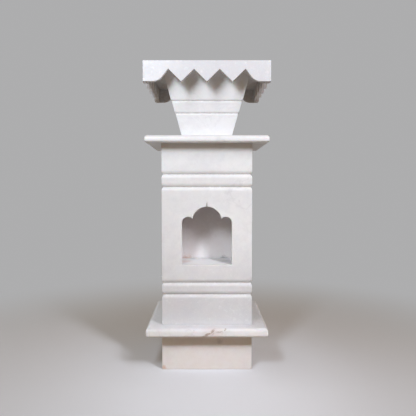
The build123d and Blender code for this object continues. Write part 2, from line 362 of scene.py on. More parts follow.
def make_stone(name, points, faces, marks, replaces):
    """Puts points and quads into a mesh whose faces point out, and sets it in place of its node.

    The signed volume, a sixth of the sum of the triple products of each triangle, tells which way
    the faces point. Points that no face uses are dropped. Marks are one number or one per point.
    """
    points = points.reshape(-1, 3)
    total = len(points)
    used, faces = np.unique(faces, return_inverse=True)
    faces = faces.reshape(-1, 4)
    points = points[used]
    a, b, c, d = (points[faces[:, corner]] for corner in range(4))
    volume = np.einsum("ij,ij->", a, np.cross(b, c)) + np.einsum("ij,ij->", a, np.cross(c, d))
    if volume < 0:
        faces = faces[:, ::-1]
    mesh = bpy.data.meshes.new(name)
    mesh.vertices.add(len(points))
    mesh.vertices.foreach_set("co", points.astype(np.float32).ravel())
    mesh.loops.add(faces.size)
    mesh.loops.foreach_set("vertex_index", faces.astype(np.int32).ravel())
    mesh.polygons.add(len(faces))
    mesh.polygons.foreach_set("loop_start", np.arange(0, faces.size, 4, dtype=np.int32))
    mesh.polygons.foreach_set("use_smooth", np.ones(len(faces), bool))
    mesh.update(calc_edges=True)
    if mesh.validate():
        raise RuntimeError(f"{name} has faces that Blender had to mend")
    mesh.set_sharp_from_angle(angle=SHARP)
    for key, values in marks.items():
        layer = mesh.attributes.new(key, "FLOAT", "POINT")
        layer.data.foreach_set("value", np.broadcast_to(values, total)[used].astype(np.float32))
    slot = slot_of(replaces)
    mesh.materials.append(material_for(slot))
    stone = added(name, mesh)
    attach(stone, BODY)
    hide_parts(replaces)


def set_sides(piece, points, faces, marks, numbers):
    """Sets a front stone, or its copy turned about the axis, on each side that has a stone number."""
    for side, number in numbers.items():
        stone = marks | {"stone": number}
        make_stone(f"{piece}_stone_{side}", turned(points, side), faces, stone, f"{piece}_{side}")


def all_sides(first, step=0.37):
    """Stone numbers for all four sides."""
    return {side: first + index * step for index, side in enumerate(SIDES)}


# ---- mitred walls -------------------------------------------------------------------------------
# Rows on a bed, as shares of the way from its middle to the face.
BED = np.array([0.15, 0.6])

# The least easing of a mitre, which its inner end has, and how far a joint opens, in easing cells.
INNER_EASING = 0.6 * MM
JOINT_SHARE = 0.45


class Section(NamedTuple):
    """A wall's closed section: from the middle of its foot out, up its face, over its top and down.

    reach is the place out from the axis, share the height from foot (0) to top (1), and inset, lift
    and drop are what each arris takes off, in arris radii. turn is the share of the corner easing.
    """

    reach: np.ndarray
    share: np.ndarray
    inset: np.ndarray
    lift: np.ndarray
    drop: np.ndarray
    turn: np.ndarray


class Run(NamedTuple):
    """The stations along a wall: x = base + share * (straight length) + easing * sin(swing)."""

    base: np.ndarray
    share: np.ndarray
    swing: np.ndarray


def half_section(share, face, middle, outwards):
    """Half of a section, from the middle of the foot to the middle of the top.

    An arris of radius r stands r(1 - sin a) in from the face and r(1 - cos a) in from the bed.
    """
    foot, top = middle
    # Reach, share, inset, lift and drop: along the foot, its arris, the face, the top's arris, the top.
    return stacked(
        (foot + BED * (face[0] - foot), 0, outwards * BED, 0, 0),
        (face[0], 0, outwards * FALLING, RISING, 0),
        (face, share, 0, 0, 0),
        (face[-1], 1, outwards * FALLING[::-1], 0, RISING[::-1]),
        (top + BED[::-1] * (face[-1] - top), 1, outwards * BED[::-1], 0, 0),
    )


def wall_section(share, outer, inner):
    """A whole section from its outer and inner faces, given at these shares of the height."""
    outer, inner = outer + 0 * share, inner + 0 * share
    middle = ((outer[0] + inner[0]) / 2, (outer[-1] + inner[-1]) / 2)
    out = half_section(share, outer, middle, 1)
    back = half_section(share, inner, middle, -1)
    joined = np.concatenate([out, back[:, ::-1]], axis=1)
    turn = np.clip((joined[0] - inner.min()) / (outer.max() - inner.min()), 0, 1)
    turn[out.shape[1]:] = 0
    return Section(*joined, turn)


def straight_run(places):
    """Stations of a plain wall from mitre to mitre, given as shares from -1 to 1, and its two swings."""
    swing = np.linspace(0, MITRE, ARC_CELLS + 1)[1:]
    share, swings = stacked((-1, -swing[::-1]), (places, 0), (1, swing))
    return Run(np.zeros(len(share)), share, swings)


def carried(section, run, foot, top, arris, corner, slant=1.0):
    """Carries a section along one side of a square, and eases its mitred ends.

    With reach u and corner easing q, a point lies at x = b + s(u - q - |b|) + q sin a and
    y = -(u - q) - q cos a, where b is the station's base, s its share and a its swing. The height
    is z = foot + share (top - foot) + arris (lift slant - drop). Both end loops shrink by e towards
    the inside and the loops before them stand e back from the mitre, which leaves a fine V joint.
    """
    q = np.maximum(corner * section.turn, INNER_EASING)
    e = JOINT_SHARE * q * MITRE / ARC_CELLS
    foot, top, arris, slant = (np.broadcast_to(v, len(run.share))[:, None] for v in (foot, top, arris, slant))
    u = section.reach - section.inset * arris
    z = foot + section.share * (top - foot) + arris * (section.lift * slant - section.drop)

    def place(reach, height, stations):
        base, share, swing = (v[:, None] for v in stations)
        x = base + share * (reach - q - np.abs(base)) + q * np.sin(swing)
        return np.stack([x, -(reach - q) - q * np.cos(swing), height + 0 * x], axis=-1)

    points = place(u, z, run)
    ends = []
    for index, side in ((0, -1), (-1, 1)):
        along_u = np.roll(u[index], -1) - np.roll(u[index], 1)
        along_z = np.roll(z[index], -1) - np.roll(z[index], 1)
        length = np.hypot(along_u, along_z)
        end = Run(*(v[[index]] for v in run))
        ends.append(place(u[index] - e * along_z / length, z[index] + e * along_u / length, end))
        points[index, :, 0] -= side * e * np.sqrt(0.5)
        points[index, :, 1] -= e * np.sqrt(0.5)
    return np.concatenate([ends[0], points, ends[1]])


def mesh_marks(edge, grime):
    """The marks for wear, 1 at an edge, and for grime and painted shade, 1 where no stone shows."""
    return {"arris": edge.ravel(), "grime": np.clip(grime, 0, 1).ravel()}


def edge_marks(points, section, foot, top, grooves=()):
    """A wall's marks: wear at its beds and mitres, grime and painted shade at its foot, mitres and grooves.
    """
    x, y, z = np.moveaxis(points, -1, 0)
    mitre = -y - np.abs(x)
    edge = either(near(mitre, MITRE_WEAR), near(z - foot, EDGE_WEAR), near(top - z, EDGE_WEAR))
    grime = 0.3 * near(z - foot, BED_GRIME_AND_SHADE) + 0.2 * near(mitre, MITRE_GRIME)
    outer = np.arange(len(section.reach)) < len(section.reach) // 2
    # Each groove takes grime and painted shade on the outer face.
    for level in grooves:
        grime = grime + 0.45 * near(z - level, GROOVE_GRIME_AND_SHADE) * outer
    return mesh_marks(edge, grime)


def grooved(level, grooves, depth, reach, foot, foot_reach, step=0, lean=0):
    """Reach of a moulded face at each level.

    The face leans out by lean per unit of height and steps out at each groove. Beside a groove it
    falls by r - sqrt(r^2 - t^2), a circle tangent to the face, where t runs from 0 at the shoulder to
    the groove's reach in the valley, and r makes the fall there the groove's depth.
    """
    face = foot_reach + lean * (level - foot)
    for groove in grooves:
        above = level > groove
        face = face + step * above
        fall = depth + step * above
        radius = (reach**2 + fall**2) / (2 * fall)
        t = np.clip(reach - np.abs(level - groove), 0, None)
        face = face - (radius - np.sqrt(radius**2 - t**2))
    return face


def groove_levels(foot, top, grooves, reach, spacing, arris):
    """Levels from foot to top, with rows that follow each groove's curve down into its valley.

    The curve's rows are shares of the groove's reach, closer towards the valley.
    """
    fine = (1.5 * MM, 4 * MM)
    beside_arris = 1.6 * arris
    curve = reach * np.array([1.0, 0.8, 0.6, 0.42, 0.27, 0.15, 0.06, 0.0])
    levels = [np.array([foot + arris])]
    start = foot + beside_arris
    for groove in grooves:
        levels.append(steps(start, groove - reach, spacing, fine)[:-1])
        levels.append(groove - curve)
        levels.append(groove + curve[-2::-1])
        start = groove + reach
    levels.append(steps(start, top - beside_arris, spacing, fine)[1:])
    levels.append(np.array([top - arris]))
    return np.concatenate(levels)


def tone_between(points, low, high, low_tone, high_tone):
    """A tone, 0 where the stone is dullest and 1 where it is palest, that changes between two levels."""
    share = np.clip((points[..., 2] - low) / (high - low), 0, 1)
    return (low_tone + (high_tone - low_tone) * share).ravel()


# ---- plinth -------------------------------------------------------------------------------------
def plinth_wall():
    """A plain wall from the ground to the base slab: a rounded rectangle carried between its mitres."""
    shaft = bpy.context.scene.planter_shaft
    foot, top = span("plinth_front")
    section = wall_section(steps(0, 1, 0.08, (0.012, 0.04))[1:-1], COLUMN_REACH, PLINTH_INSIDE)
    run = straight_run(steps(-1, 1, 0.06, (0.01, 0.03)))
    arris = worn(run.share * COLUMN_REACH, shaft.arris, seed=11)
    points = carried(section, run, foot, top, arris, shaft.wall_round)
    return points, edge_marks(points, section, foot, top)


# ---- shaft --------------------------------------------------------------------------------------
def shaft_section(levels, foot, top, grooves):
    """The shaft wall's section at these levels."""
    shaft = bpy.context.scene.planter_shaft
    outer = grooved(levels, grooves, shaft.groove_depth, shaft.groove_reach, foot, COLUMN_REACH)
    return wall_section((levels - foot) / (top - foot), outer, COLUMN_INSIDE)


def shaft_levels():
    """The shaft's foot, its top, its four grooves, and the levels of its rows."""
    shaft = bpy.context.scene.planter_shaft
    foot, top = span("shaft_front")
    low, high = foot + shaft.foot, top - shaft.neck
    grooves = [low, low + shaft.lower_band, high - shaft.upper_band, high]
    return foot, top, grooves, groove_levels(foot, top, grooves, shaft.groove_reach, 12 * MM, shaft.arris)


def shaft_tone(points):
    """The shaft grows duller towards its foot."""
    return tone_between(points, 200 * MM, 480 * MM, 0.12, 0.9)


def shaft_wall():
    """A plain shaft wall with its two moulded bands."""
    shaft = bpy.context.scene.planter_shaft
    foot, top, grooves, levels = shaft_levels()
    section = shaft_section(levels, foot, top, grooves)
    run = straight_run(steps(-1, 1, 0.05, (0.01, 0.03)))
    arris = worn(run.share * COLUMN_REACH, shaft.arris, seed=12)
    points = carried(section, run, foot, top, arris, shaft.wall_round)
    return points, edge_marks(points, section, foot, top, grooves)


# ---- the front wall's arch ----------------------------------------------------------------------
# Cells along the right half of the arch and of the rectangle that frames it.
JAMB_CELLS = 56
SHOULDER_CELLS = 14
LOBE_CELLS = 20
CROWN_CELLS = 30
CUT_CELLS = 6

# Rings on the wall's face, as shares of the way from the arch out to the rectangle.
SPREAD = np.array([0.8, 0.62, 0.46, 0.33, 0.22, 0.13, 0.07, 0.03, 0.0])


class Arch(NamedTuple):
    """The niche's outline and the rectangle of wall round it, point by point, counter-clockwise.

    top_x is the right half of the rectangle's top row, from its corner in, and side_z its right
    column, from its foot up.
    """

    outline: np.ndarray
    rectangle: np.ndarray
    top_x: np.ndarray
    side_z: np.ndarray


def circle_points(centre, radius, start, stop, cells):
    """Points on an arc, without the last."""
    angle = np.linspace(start, stop, cells + 1)[:-1]
    return np.stack([centre[0] + radius * np.cos(angle), centre[1] + radius * np.sin(angle)], axis=-1)


def cut_points(half_width, foot, tip):
    """The finial cut's right side, without its tip: at share t of its height it is sqrt(1 - t) wide."""
    share = np.linspace(0, 1, CUT_CELLS + 1)[:-1]
    return np.stack([half_width * np.sqrt(1 - share), foot + share * (tip - foot)], axis=-1)


def both_halves(right, peak):
    """A loop of its right half, which starts on the middle line, its peak and its mirror image."""
    return np.concatenate([right, [[0.0, peak]], right[:0:-1] * (-1.0, 1.0)])


def framed_arch(low, high):
    """The cusped arch and the rectangle that frames it between the two levels.

    Right half, from the sill's corner: jamb, side lobe to its cusp, middle lobe to the finial cut and
    the cut's side. The cusp is where the two circles cross, and the cut leaves the middle lobe where
    its straight side crosses it. The left half is the mirror image. The frame's points stand where
    the lines from the arch's points fan out evenly.
    """
    niche = bpy.context.scene.planter_niche
    half = niche.width / 2
    spring = SILL + niche.spring
    side = np.array([half - niche.side_lobe, spring])
    middle = np.array([0.0, spring + niche.middle_rise])
    gap = np.hypot(*(side - middle))
    along = (gap**2 + niche.middle_lobe**2 - niche.side_lobe**2) / (2 * gap)
    across = np.sqrt(niche.middle_lobe**2 - along**2)
    toward = (side - middle) / gap
    cusp = middle + along * toward + across * np.array([-toward[1], toward[0]])
    cusp_on_side = np.arctan2(*(cusp - side)[::-1])
    cusp_on_middle = np.arctan2(*(cusp - middle)[::-1])
    tip = middle[1] + niche.middle_lobe + niche.finial_height
    cut_share = niche.finial_height / (niche.finial_height + niche.finial_width)
    cut_x = niche.finial_width / 2 * cut_share
    cut_on_middle = np.arccos(cut_x / niche.middle_lobe)
    cut_foot = middle[1] + niche.middle_lobe * np.sin(cut_on_middle)
    shoulder = np.radians(60)

    reach = half + SILL - low
    # Where the frame's points change their spacing, over the side lobe and over the crown.
    lobe_x, crown_x, lobe_z = 74 * MM, 16 * MM, spring + niche.side_lobe
    side_z = chained((low, lobe_z, JAMB_CELLS), (lobe_z, high, SHOULDER_CELLS))
    top_x = chained((reach, lobe_x, LOBE_CELLS), (lobe_x, crown_x, CROWN_CELLS), (crown_x, 0, CUT_CELLS))
    sill_x = top_x[:0:-1]
    outline = np.concatenate([
        stacked((sill_x * half / reach, SILL)).T,
        stacked((half, chained((SILL, spring, JAMB_CELLS))[:-1])).T,
        circle_points(side, niche.side_lobe, 0, shoulder, SHOULDER_CELLS),
        circle_points(side, niche.side_lobe, shoulder, cusp_on_side, LOBE_CELLS),
        circle_points(middle, niche.middle_lobe, cusp_on_middle, cut_on_middle, CROWN_CELLS),
        cut_points(cut_x, cut_foot, tip),
    ])
    rectangle = stacked((sill_x, low), (reach, side_z[:-1]), (top_x[:-1], high)).T
    return Arch(both_halves(outline, tip), both_halves(rectangle, high), top_x, side_z)


def in_cut(outline, x, width):
    """A mark that is 1 in the middle of the finial cut and dies away over a width from it."""
    niche = bpy.context.scene.planter_niche
    return near(x, width) * (outline[:, 1] > outline[:, 1].max() - niche.finial_height)


def fan_rings(arch, inside_scale):
    """Rings from the wall's face over the arch's arris, through the wall and out over its back.

    Every ring lies on straight lines from the outline to the rectangle. An arris of radius r stands
    r(1 - sin a) off the outline and r(1 - cos a) off the face at angle a, and is narrower in the
    finial cut. On a slanting line the offset is divided by how square the line stands to the outline.
    """
    niche = bpy.context.scene.planter_niche
    outline = arch.outline
    ahead = np.roll(outline, -1, axis=0) - outline
    normal = np.stack([ahead[:, 1], -ahead[:, 0]], axis=-1) / np.linalg.norm(ahead, axis=1)[:, None]
    normal_behind = np.roll(normal, 1, axis=0)
    spacing = 2 * MM
    back_arris = 0.5 * MM
    least_square = 0.33
    arris = worn(np.arange(len(outline)) * spacing, niche.arris, seed=31)
    arris = arris * (1 - 0.65 * in_cut(outline, outline[:, 0], 2 * MM))
    rings = []
    for scale, radius in ((1.0, arris), (inside_scale, back_arris + 0 * arris)):
        away = arch.rectangle * (scale, 1.0) - outline
        length = np.linalg.norm(away, axis=1)
        away = away / length[:, None]
        square = np.minimum((away * normal).sum(axis=1), (away * normal_behind).sum(axis=1))
        start = radius / np.clip(square, least_square, 1)
        offset, depth = stacked(
            (start + (length - start) * SPREAD[:, None], 0 * start),
            (start * FALLING[1:, None], radius * RISING[1:, None]),
        )
        rings.append((outline + offset[..., None] * away, depth))
    (front, front_depth), (back, back_depth) = rings
    face = np.stack([front[..., 0], front_depth - COLUMN_REACH, front[..., 1]], axis=-1)
    rear = np.stack([back[..., 0], -COLUMN_INSIDE - back_depth, back[..., 1]], axis=-1)[::-1]
    between = np.array([0.33, 0.66])[:, None, None]
    return np.concatenate([face, face[-1] * (1 - between) + rear[0] * between, rear])


def patch_border(ids, stations, rows):
    """Point numbers round a patch of a wall's grid, from the middle of its foot."""
    patch = ids[np.ix_(stations, rows)]
    loop = np.concatenate([patch[:, 0], patch[-1, 1:], patch[-2::-1, -1], patch[0, -2:0:-1]])
    return np.roll(loop, -(len(stations) // 2))


def pierced_wall():
    """The front wall. Its grid leaves out a rectangle on both faces, and the arch's rings fill it."""
    shaft = bpy.context.scene.planter_shaft
    foot, top, grooves, levels = shaft_levels()
    low, high = grooves[1] + shaft.groove_reach, grooves[2] - shaft.groove_reach
    arch = framed_arch(low, high)
    levels = np.concatenate([levels[levels < low - NEARLY], arch.side_z, levels[levels > high + NEARLY]])
    section = shaft_section(levels, foot, top, grooves)
    reach = COLUMN_REACH - shaft.wall_round
    beside = steps(arch.top_x[0], reach, 4 * MM, (1.5 * MM,))[1:]
    run = straight_run(np.concatenate([-beside[::-1], -arch.top_x, arch.top_x[-2::-1], beside]) / reach)
    arris = worn(run.share * COLUMN_REACH, shaft.arris, seed=13)
    points = carried(section, run, foot, top, arris, shaft.wall_round)

    ids = point_ids(points)
    last = ids.shape[1] - 1
    row = len(BED) + len(ANGLES) + int(np.argmin(np.abs(levels - low)))
    rows = row + np.arange(len(arch.side_z))
    stations = 1 + ARC_CELLS + len(beside) + np.arange(2 * len(arch.top_x) - 1)
    outer, inner = (patch_border(ids, stations, face_rows)[None] for face_rows in (rows, last - rows))
    corner = points[stations[-1], :, 0]
    rings = fan_rings(arch, corner[last - rows[0]] / corner[rows[0]])
    tube = np.concatenate([outer, ids.size + point_ids(rings), inner])

    # The skin's quads come first, station by station, and those in the two patches are left out.
    faces = closed_faces(points)
    kept = np.ones(len(faces), bool)
    skin = kept[:ids[1:].size].reshape(ids[1:].shape)
    skin[np.ix_(stations[:-1], rows[:-1])] = False
    skin[np.ix_(stations[:-1], last - rows[1:])] = False
    faces = np.concatenate([faces[kept], grid_faces(tube, across_closed=True)])

    marks = edge_marks(points, section, foot, top, grooves)
    cut = in_cut(arch.outline, rings[..., 0], 2.5 * MM)
    ring = np.arange(len(rings))[:, None]
    edge = near(ring - len(SPREAD) - 1, 1.5) * (1 - cut)
    # The finial cut's inside takes the grime mark: painted shade in the slit.
    marks = {
        "arris": np.concatenate([marks["arris"], edge.ravel()]),
        "grime": np.concatenate([marks["grime"], (cut * (ring > len(SPREAD))).ravel()]),
    }
    return np.concatenate([points.reshape(-1, 3), rings.reshape(-1, 3)]), faces, marks


# ---- niche lining -------------------------------------------------------------------------------
def panel(corners, foot, top, arris):
    """An upright panel: its plan, with eased corners, carried up and drawn in at both arrises.

    The plan is two long sides of equal count, so its ends close side to side. At angle a of an
    arris it stands r(1 - sin a) inside its outline and r(1 - cos a) from the bed.
    """
    sides = []
    for start, stop in zip(corners, np.roll(corners, -1, axis=0)):
        eased = arris / np.linalg.norm(stop - start)
        share = steps(eased, 1 - eased, 0.12)[:, None]
        sides.append(start * (1 - share) + stop * share)
    loop = np.concatenate(sides)
    height, inset = stacked(
        (foot + arris * RISING, arris * FALLING),
        (steps(foot + arris, top - arris, 8 * MM)[1:-1], 0),
        (top - arris * RISING[::-1], arris * FALLING[::-1]),
    )
    ahead = np.roll(loop, -1, axis=0) - np.roll(loop, 1, axis=0)
    inward = np.stack([-ahead[:, 1], ahead[:, 0]], axis=-1) / np.linalg.norm(ahead, axis=1)[:, None]
    inward *= np.sign(((corners.mean(axis=0) - loop) * inward).sum())
    points = raised(loop + inset[:, None, None] * inward, height[:, None])
    z = points[..., 2]
    corner = np.linalg.norm(loop[:, None] - corners, axis=-1).min(axis=1)
    # Grime and painted shade at the panel's foot and along its corners.
    grime = 0.4 * near(z - foot, 2.5 * MM) + 0.2 * near(corner, 1.5 * MM)
    return points, mesh_marks(either(near(corner, EDGE_WEAR), near(top - z, EDGE_WEAR)), grime)


def lining_tone_and_shade(name, points):
    """The floor is palest, the cheeks are dull; the back dulls from its foot up, painted shade under the
    arch.
    """
    if name == "niche_back":
        return tone_between(points, SILL, SILL + 150 * MM, 0.9, 0.25)
    return 1.0 if name == "niche_floor" else 0.3


# ---- slabs and deck -----------------------------------------------------------------------------
def square_path(half, corner, cells):
    """A square with rounded corners, as stations along the path times rows of half width and round.

    Along one side x = s(h - q) + q sin a and y = -(h - q) - q cos a, and the other sides are turned.
    """
    swing = np.linspace(0, np.pi / 2, 2 * ARC_CELLS + 1)[1:-1]
    share, swing = stacked((steps(-1, 1, 2 / cells, (0.02,)), 0), (1, swing))[..., None]
    x = share * (half - corner) + corner * np.sin(swing)
    y = -(half - corner) - corner * np.cos(swing)
    front = np.stack([x, y, 0 * x], axis=-1)
    return np.concatenate([turned(front, side)[..., :2] for side in SIDES])


def circle_path(radius, centre, outline):
    """A circle whose points lie towards the outline's points, seen from the circle's centre."""
    away = outline - centre
    return centre + radius[:, None] * away / np.linalg.norm(away, axis=-1, keepdims=True)


def blended(inner, outer, share):
    """Loops between an inner and an outer one, by each row's share."""
    return inner * (1 - share[:, None]) + outer * share[:, None]


def round_edged(name, seed, edge_tone, top_tone):
    """A slab with rounded edges: rings from the drain out over the top, round the edge and back.

    At angle a an edge stands r(1 - cos a) inside its widest outline and r(1 - sin a) from its bed,
    where r is its round. Rings on the flat beds are blends of the drain's circle and the square,
    whose sides waver a little. The top is duller than the edge: the tone goes from the edge's to the
    top's with sin a.
    """
    slabs = bpy.context.scene.planter_slabs
    low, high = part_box(name)
    half, thickness = high.x, high.z - low.z
    upper, lower = slabs.upper_round, slabs.lower_round
    a = np.linspace(np.pi / 2, 0, 2 * ARC_CELLS + 1)
    b = a[::-1]
    bed = np.array([0.0, 0.02, 0.12, 0.3, 0.5, 0.66, 0.78, 0.86, 0.92, 0.97])
    lip = 0.8 * MM
    wall = np.linspace(lip, thickness - lip, 4)
    # The drain's wall, the top, the upper edge, the lower edge and the underside.
    blend, widening, inset, height, arris, upward = stacked(
        (0, 0, upper, wall, 0, 1),
        (bed, lip, upper, thickness, 0, 1),
        (1, lip, upper * (1 - np.cos(a)), thickness - upper * (1 - np.sin(a)), np.sin(2 * a), np.sin(a)),
        (1, lip, lower * (1 - np.cos(b)), lower * (1 - np.sin(b)), np.sin(2 * b), 0),
        (bed[::-1], lip, lower, 0, 0, 0),
    )
    corner = np.maximum(slabs.corner - 0.35 * inset, 1.0 * MM)
    square = square_path(half - inset, corner, 64)
    waver = 0.0006 * (1 + ripple(np.arange(len(square)) * 8 * half / len(square), seed, 2 * half))
    square = square * (1 - waver)[:, None, None]
    circle = circle_path(slabs.drain + widening, np.array([0.0, slabs.drain_setback]), square)
    plan = blended(circle, square, blend)
    points = raised(plan, low.z + height)
    from_column = np.abs(plan).max(axis=-1) - COLUMN_REACH
    # Grime and painted contact shade along the joint round the column.
    joint = near(from_column, 1.5 * MM) * ((blend < 1) & (blend > 0))
    marks = mesh_marks(0.5 * arris + 0 * joint, 0.3 * joint)
    tone = edge_tone + (top_tone - edge_tone) * upward
    return points, grid_faces(point_ids(points), True, True), marks | {"tone": (tone + 0 * joint).ravel()}


def deck_stone():
    """The deck: rings from the mouth out over the top to the apron, down and back underneath.

    Each ring is a blend of a rounded square at the mouth and one at the apron. At angle a an arris
    stands r(1 - sin a) or r(1 - cos a) from the faces that it joins.
    """
    canopy = bpy.context.scene.planter_canopy
    low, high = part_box("deck")
    half, thickness = high.x, high.z - low.z
    mouth = np.abs(mesh_points("deck")[:, :2]).max(axis=1).min()
    arris, lip = canopy.arris, 2.5 * MM
    bed = np.array([0.02, 0.06, 0.15, 0.35, 0.6, 0.8, 0.92, 0.97])
    side = np.array([0.3, 0.7])
    # The mouth's wall and lip, the top, its arris, the side, its arris, the underside and its inner arris.
    blend, mouth_in, edge_in, height = stacked(
        (0, 0, arris, arris + side * (thickness - arris - lip)),
        (0, lip * RISING, arris, thickness - lip * FALLING),
        (bed, lip, arris, thickness),
        (1, lip, arris * FALLING, thickness - arris * RISING),
        (1, lip, 0, thickness - arris - side * (thickness - 2 * arris)),
        (1, arris, arris * RISING, arris * FALLING),
        (bed[::-1], arris, arris, 0),
        (0, arris * FALLING, arris, arris * RISING),
    )
    inner = square_path(mouth + mouth_in, canopy.mouth_round + mouth_in, 40)
    outer = square_path(half - edge_in, 1.2 * MM + 0 * edge_in, 40)
    points = raised(blended(inner, outer, blend), low.z + height)
    x, y, z = np.moveaxis(points, -1, 0)
    edge = near(high.z - z, 1.5 * MM) * near(blend * (1 - blend), 0.03)
    # Grime at the joint with the aprons; the underside is darker still: dust and painted shade under the
    # canopy.
    grime = 0.3 * near(half - np.maximum(np.abs(x), np.abs(y)), 1.0 * MM) + 0.5 * near(z - low.z, 0.5 * MM)
    return points, grid_faces(point_ids(points), True, True), mesh_marks(edge, grime)


# ---- pot ----------------------------------------------------------------------------------------
def pot_wall():
    """A leaning wall in three tiers. The inner face leans straight from its foot to its top."""
    pot = bpy.context.scene.planter_pot
    foot, top = span("pot_front")
    grooves = [foot + pot.lower_tier, foot + pot.lower_tier + pot.middle_tier]
    levels = groove_levels(foot, top, grooves, pot.groove_reach, 8 * MM, pot.arris)
    lean = (POT_TOP_REACH - POT_FOOT_REACH - 2 * pot.step) / (top - foot)
    outer = grooved(levels, grooves, pot.groove_depth, pot.groove_reach, foot, POT_FOOT_REACH, pot.step, lean)
    share = (levels - foot) / (top - foot)
    section = wall_section(share, outer, POT_FOOT_INSIDE + share * (POT_TOP_INSIDE - POT_FOOT_INSIDE))
    run = straight_run(steps(-1, 1, 0.06, (0.015, 0.04)))
    arris = worn(run.share * POT_TOP_REACH, pot.arris, seed=14)
    points = carried(section, run, foot, top, arris, corner=1.4 * MM)
    return points, edge_marks(points, section, foot, top, grooves)


# ---- apron --------------------------------------------------------------------------------------
def block_end():
    """Where the corner block's rounding meets its level foot."""
    canopy = bpy.context.scene.planter_canopy
    meet = canopy.tooth_depth / np.tan(canopy.block_slope)
    return 1.5 * canopy.tooth_pitch + meet + canopy.block_round * np.tan(canopy.block_slope / 2)


def tooth_line(x):
    """Height of the apron's lower edge over its foot, and its slope, at each place along it.

    The teeth are a triangle wave, depth (1 - |1 - 2 frac(x / pitch)|), whose tips are worn round as
    sqrt(d^2 + r^2) - r of the distance d from the tip. Past the last notch the edge falls at the
    block's slope and runs out on an arc R - sqrt(R^2 - (end - x)^2).
    """
    canopy = bpy.context.scene.planter_canopy
    pitch, depth, radius, blunt = canopy.tooth_pitch, canopy.tooth_depth, canopy.block_round, canopy.tip_round
    x = np.abs(x)
    last, end = 1.5 * pitch, block_end()
    rise = 2 * depth / pitch
    from_tip = np.abs((x / pitch + 0.5) % 1 - 0.5) * pitch
    teeth = rise * (np.sqrt(from_tip**2 + blunt**2) - blunt)
    teeth_slope = rise * from_tip / np.sqrt(from_tip**2 + blunt**2)
    slope = np.tan(canopy.block_slope)
    arc_reach = radius * np.sin(canopy.block_slope)
    inside = np.clip(end - x, 0, arc_reach)
    on_arc = end - x < arc_reach
    block = np.where(on_arc, radius - np.sqrt(radius**2 - inside**2), depth - slope * (x - last))
    block_slope = np.where(on_arc, inside / np.sqrt(radius**2 - inside**2), slope)
    return np.where(x < last, teeth, block), np.where(x < last, teeth_slope, block_slope)


def apron_run():
    """Stations that stand on every tip and notch, then spread to the mitres beyond the last notch."""
    half_pitch = bpy.context.scene.planter_canopy.tooth_pitch / 2
    end = block_end()
    fine = (0.4 * MM, 1.2 * MM, 3 * MM)
    teeth = [steps(i * half_pitch, (i + 1) * half_pitch, 4 * MM, fine)[:-1] for i in range(3)]
    straight = np.concatenate([*teeth, steps(3 * half_pitch, end, 2 * MM, fine)])
    outward = steps(0, 1, 0.1, (0.03,))[1:]
    swing = np.linspace(0, MITRE, ARC_CELLS + 1)[1:]
    right = stacked((straight, 0, 0), (end, outward, 0), (end, 1, swing))
    return Run(*np.concatenate([-right[:, :0:-1], right], axis=1))


def apron_wall():
    """The toothed apron: its section's foot follows the tooth line along the run."""
    canopy = bpy.context.scene.planter_canopy
    foot, top = span("apron_front")
    run = apron_run()
    line, slope = tooth_line(run.base)
    section = wall_section(steps(0, 1, 0.1, (0.03, 0.08))[1:-1], APRON_REACH, APRON_INSIDE)
    arris = worn(run.base + run.share * 0.03, canopy.arris, seed=15)
    points = carried(section, run, foot + line, top, arris, 2.2 * MM, np.sqrt(1 + slope**2))
    line, slope = (np.concatenate([v[:1], v, v[-1:]])[:, None] for v in (line, slope))
    x, y, z = np.moveaxis(points, -1, 0)
    mitre = -y - np.abs(x)
    tooth_wear = 1.8 * MM
    lower = near((z - foot - line) / np.sqrt(1 + slope**2), tooth_wear)
    edge = either(lower, near(top - z, tooth_wear), near(mitre, MITRE_WEAR))
    # The inner face is darkened: dust, and painted shade under the canopy.
    behind = np.arange(len(section.reach)) > len(section.reach) // 2
    return points, mesh_marks(edge, 0.2 * near(mitre, MITRE_GRIME) + 0.5 * behind)


# ---- shader helpers -----------------------------------------------------------------------------
def wire(tree, value, socket):
    """Links an output to an input, or sets the input's value."""
    if isinstance(value, bpy.types.NodeSocket):
        tree.links.new(value, socket)
    else:
        socket.default_value = value


def node(tree, kind, settings=None, inputs=None):
    """A shader node with its settings, and its inputs by name or number."""
    made = tree.nodes.new("ShaderNode" + kind)
    for key, value in (settings or {}).items():
        setattr(made, key, value)
    for key, value in (inputs or {}).items():
        wire(tree, value, made.inputs[key])
    return made


def calc(tree, operation, *values, clamp=False):
    """A math node's output."""
    settings = {"operation": operation, "use_clamp": clamp}
    return node(tree, "Math", settings, dict(enumerate(values))).outputs[0]


def vector_calc(tree, operation, *values):
    """A vector math node's outputs."""
    return node(tree, "VectorMath", {"operation": operation}, dict(enumerate(values))).outputs


def mix(tree, mask, low, high):
    """A colour between low and high by the mask."""
    low, high = (c if isinstance(c, bpy.types.NodeSocket) else (*c, 1.0) for c in (low, high))
    settings = {"data_type": "RGBA", "clamp_factor": True}
    return node(tree, "Mix", settings, {0: mask, 6: low, 7: high}).outputs[2]


def laid(tree, colour, *layers):
    """A colour with layers laid over it: each has its own colour, a mask and the share of it that shows."""
    for layer, mask, share in layers:
        colour = mix(tree, calc(tree, "MULTIPLY", mask, share), colour, layer)
    return colour


def graded(tree, value, low, high):
    """A mask that rises smoothly from 0 at low to 1 at high."""
    inputs = {"Value": value, "From Min": low, "From Max": high}
    return node(tree, "MapRange", {"interpolation_type": "SMOOTHSTEP"}, inputs).outputs[0]


def noise(tree, vector, stone, scale, detail=3, roughness=0.5, distortion=0.0):
    """Noise that differs from stone to stone: its fourth dimension is the stone's number."""
    inputs = {
        "Vector": vector, "W": stone, "Scale": scale, "Detail": detail,
        "Roughness": roughness, "Distortion": distortion,
    }
    return node(tree, "TexNoise", {"noise_dimensions": "4D"}, inputs).outputs["Fac"]


